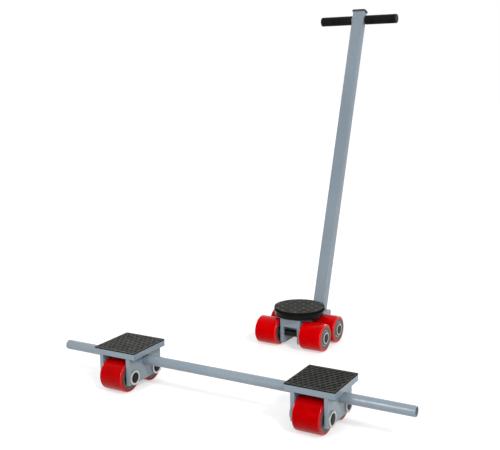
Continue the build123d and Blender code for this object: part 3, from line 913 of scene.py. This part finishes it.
def make_pivot_bolt():
    centre = Vector(joints["drawbar_tilt"]["pos_m"])
    low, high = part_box("pivot_bolt")
    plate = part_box("steer_side_plates")[1].x - centre.x
    washer_start = plate + bolt_seat_gap
    washer_end = washer_start + bolt_washer_thickness
    seat = washer_end + bolt_seat_gap
    nut_end = seat + bolt_nut_thickness
    profiles = [
        (bolt_profile(low.x - centre.x, seat, nut_end - thread_run_in, high.x - centre.x), False),
        (nut_profile(seat, nut_end), True),
        (washer_profile(washer_start, washer_end, -1), True),
        (washer_profile(washer_start, washer_end, 1), True),
    ]
    mesh = lathe("pivot_bolt_set", profiles, centre, bolt_segments, bolt_sharp_angle)
    add_piece("pivot_bolt_set", mesh, finishes["steer"]["zinc"], "steer_frame", "zinc", "pivot_bolt")


# Weld beads


def fillet_section(leg):
    # A slightly bulging three-cornered bead, as (out along one plate, out along the other).
    turns = [radians(90 * i / fillet_steps) for i in range(fillet_steps + 1)]
    bulge = [(leg * cos(t) ** fillet_bulge, leg * sin(t) ** fillet_bulge) for t in turns]
    return [(-weld_sink, -weld_sink), (leg, -weld_sink), *bulge, (-weld_sink, leg)]


def cap_section(width, height):
    # A low round bead over a flush seam, as (across the seam, out of the surface).
    turns = [pi * i / cap_steps for i in range(cap_steps + 1)]
    crown = [(width / 2 * cos(t), height * sin(t)) for t in turns]
    return [(-width / 2, -weld_sink), (width / 2, -weld_sink), *crown]


def weld_bead(name, body, section, path, closed):
    # Sweeps a section along a path of (point, first direction, second direction). The ripples bow
    # along the bead, and leave the section's first two points, which lie in the metal, as they are.
    last = len(path) - 1
    rings = []
    for i, (point, first, second) in enumerate(path):
        ripples = i / weld_steps_per_ripple
        from_end = min(i, last - i) / weld_steps_per_ripple
        end_size = 1.0 if closed else min(1.0, weld_end_size + from_end * weld_end_growth)
        ring = []
        for j, (u, v) in enumerate(section):
            bow = (2 * j / len(section) - 1) ** 2
            ripple = 1 + weld_ripple_depth * cos(tau * (ripples + weld_ripple_bow * bow))
            size = end_size * (ripple if j > 1 else 1.0)
            ring.append(point + first * (u * size) + second * (v * size))
        rings.append(ring)
    shape = bmesh.new()
    corners = add_rings(shape, rings, closed)
    if not closed:
        shape.faces.new(corners[0])
        shape.faces.new(corners[-1])
    add_piece(name, close_mesh(name, shape, weld_sharp_angle), paint, body, "paint")


def straight_path(start, end, first, second):
    ripples = (end - start).length / weld_ripple_pitch
    steps = max(weld_least_steps, round(ripples * weld_steps_per_ripple))
    return [(start.lerp(end, i / steps), Vector(first), Vector(second)) for i in range(steps + 1)]


def round_path(centre, radius, out):
    # Round the line along X through centre: the first direction is outwards, the second along X.
    steps = round(tau * radius / weld_ripple_pitch) * weld_steps_per_ripple
    path = []
    for i in range(steps):
        outward = Vector((0, cos(tau * i / steps), sin(tau * i / steps)))
        path.append((centre + outward * radius, outward, Vector((out, 0, 0))))
    return path


def make_rear_welds(side):
    low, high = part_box(f"{side}_side_plates")
    plate_section = fillet_section(plate_weld_leg)
    sleeve_section = cap_section(sleeve_weld_width, sleeve_weld_height)
    for end, x, out in (("left", low.x, -1), ("right", high.x, 1)):
        start = Vector((x, low.y + plate_weld_leg, plate_bottom))
        stop = Vector((x, high.y - plate_weld_leg, plate_bottom))
        path = straight_path(start, stop, (out, 0, 0), (0, 0, -1))
        weld_bead(f"{side}_plate_weld_{end}", f"{side}_skate", plate_section, path, False)
        path = round_path(Vector((x, bar_middle.y, bar_middle.z)), sleeve_weld_radius, out)
        weld_bead(f"{side}_sleeve_weld_{end}", f"{side}_skate", sleeve_section, path, True)


def make_steer_welds():
    low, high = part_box("steer_bridge")
    section = fillet_section(bridge_weld_leg)
    for end, x, inward in (("left", low.x, 1), ("right", high.x, -1)):
        start = Vector((x, low.y + bridge_weld_leg, low.z))
        stop = Vector((x, high.y - bridge_weld_leg, low.z))
        path = straight_path(start, stop, (inward, 0, 0), (0, 0, -1))
        weld_bead(f"bridge_under_weld_{end}", "steer_frame", section, path, False)
        start = Vector((x, high.y, low.z))
        stop = Vector((x, high.y, high.z - bridge_weld_leg))
        path = straight_path(start, stop, (inward, 0, 0), (0, 1, 0))
        weld_bead(f"bridge_back_weld_{end}", "steer_frame", section, path, False)


def make_t_bar_welds():
    low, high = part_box("drawbar_tube")
    section = fillet_section(t_bar_weld_leg)
    for end, x, out in (("left", low.x, -1), ("right", high.x, 1)):
        path = round_path(Vector((x, t_bar_middle.y, t_bar_middle.z)), t_bar_radius, out)
        weld_bead(f"t_bar_weld_{end}", "drawbar", section, path, True)


make_bar()
for rear_side in ("left", "right"):
    make_rear_pad(rear_side)
    make_rear_welds(rear_side)
make_round_pad()
make_grips()
make_pivot_bolt()
make_steer_welds()
make_t_bar_welds()

# Floor, light and camera: softboxes have a power in watts, far lights a strength in watts per square
# metre and a width in degrees, and the camera's angles are in degrees too
floor_size = 40.0
floor_tone = 0.66
floor_glow = 0.50
room_light = 0.45
softboxes = {
    "key": {"place": (-0.41, -2.49, 1.25), "target": (0.1, -0.3, 0.1), "size": (0.40, 1.00), "power": 14},
    "fill": {"place": (1.7, -2.3, 1.2), "target": (0.3, -0.3, 0.1), "size": (0.50, 0.50), "power": 9},
}
far_lights = {
    "side": {"direction": (0.64, -0.36, 0.68), "strength": 1.25, "width": 9},
    "back": {"direction": (0.04, 0.86, 0.50), "strength": 0.65, "width": 20},
    "left": {"direction": (-0.96, 0.15, 0.24), "strength": 0.60, "width": 20},
}
camera_place = Vector((1.00680, -2.04411, 0.78751))
camera_turn = 29.93479
camera_tilt = 10.36516
camera_roll = -0.93686
camera_lens = 58.7255
camera_sensor = 36


def seen_directly(tree):
    # 1 for rays from the camera, and for what metal and glass show.
    rays = tree.nodes.new("ShaderNodeLightPath")
    total = rays.outputs["Is Camera Ray"]
    for name in ("Is Glossy Ray", "Is Transmission Ray"):
        either = tree.nodes.new("ShaderNodeMath")
        either.operation = "MAXIMUM"
        tree.links.new(total, either.inputs[0])
        tree.links.new(rays.outputs[name], either.inputs[1])
        total = either.outputs[0]
    return total


def floor_material():
    # Pale paper that takes shadows, with a glow that shows it white but lights nothing.
    material = bpy.data.materials.new("floor")
    material.use_nodes = True
    tree = material.node_tree
    tree.nodes.clear()
    paper = tree.nodes.new("ShaderNodeBsdfDiffuse")
    paper.inputs["Color"].default_value = (floor_tone, floor_tone, floor_tone, 1)
    glow = tree.nodes.new("ShaderNodeEmission")
    strength = tree.nodes.new("ShaderNodeMath")
    strength.operation = "MULTIPLY"
    tree.links.new(seen_directly(tree), strength.inputs[0])
    strength.inputs[1].default_value = floor_glow
    tree.links.new(strength.outputs[0], glow.inputs["Strength"])
    both = tree.nodes.new("ShaderNodeAddShader")
    tree.links.new(paper.outputs[0], both.inputs[0])
    tree.links.new(glow.outputs[0], both.inputs[1])
    output = tree.nodes.new("ShaderNodeOutputMaterial")
    tree.links.new(both.outputs[0], output.inputs["Surface"])
    return material


def make_floor():
    half = floor_size / 2
    mesh = bpy.data.meshes.new("floor")
    corners = [(-half, -half, 0), (half, -half, 0), (half, half, 0), (-half, half, 0)]
    mesh.from_pydata(corners, [], [(0, 1, 2, 3)])
    mesh.materials.append(floor_material())
    floor = bpy.data.objects.new("floor", mesh)
    bpy.context.scene.collection.objects.link(floor)


def make_world():
    world = bpy.data.worlds.new("studio")
    bpy.context.scene.world = world
    world.use_nodes = True
    tree = world.node_tree
    background = tree.nodes["Background"]
    background.inputs["Color"].default_value = (1, 1, 1, 1)
    strength = tree.nodes.new("ShaderNodeMapRange")
    tree.links.new(seen_directly(tree), strength.inputs["Value"])
    strength.inputs["To Min"].default_value = room_light
    strength.inputs["To Max"].default_value = 1.0
    tree.links.new(strength.outputs[0], background.inputs["Strength"])


def add_light(name, light, towards):
    lamp = bpy.data.objects.new(name, light)
    bpy.context.scene.collection.objects.link(lamp)
    lamp.rotation_euler = towards.to_track_quat("-Z", "Y").to_euler()
    return lamp


def add_softbox(name, place, target, size, power):
    light = bpy.data.lights.new(name, "AREA")
    light.shape = "RECTANGLE"
    light.size, light.size_y = size
    light.energy = power
    softbox = add_light(name, light, Vector(target) - Vector(place))
    softbox.location = place


def add_far_light(name, direction, strength, width):
    # A large, far light from this direction.
    light = bpy.data.lights.new(name, "SUN")
    light.energy = strength
    light.angle = radians(width)
    add_light(name, light, -Vector(direction))


def make_camera():
    turn, tilt, roll = radians(camera_turn), radians(camera_tilt), radians(camera_roll)
    ahead = Vector((-sin(turn) * cos(tilt), cos(turn) * cos(tilt), -sin(tilt)))
    level = Vector((cos(turn), sin(turn), 0))
    upright = level.cross(ahead)
    right = cos(roll) * level + sin(roll) * upright
    up = cos(roll) * upright - sin(roll) * level
    data = bpy.data.cameras.new("camera")
    data.lens = camera_lens
    data.sensor_width = camera_sensor
    data.sensor_fit = "HORIZONTAL"
    camera = bpy.data.objects.new("camera", data)
    bpy.context.scene.collection.objects.link(camera)
    turned = Matrix((right, up, -ahead)).transposed()
    camera.matrix_world = Matrix.Translation(camera_place) @ turned.to_4x4()
    bpy.context.scene.camera = camera


make_floor()
make_world()
for softbox_name, settings in softboxes.items():
    add_softbox(softbox_name, **settings)
for far_light_name, settings in far_lights.items():
    add_far_light(far_light_name, **settings)
make_camera()
bpy.context.scene.view_settings.view_transform = "Standard"
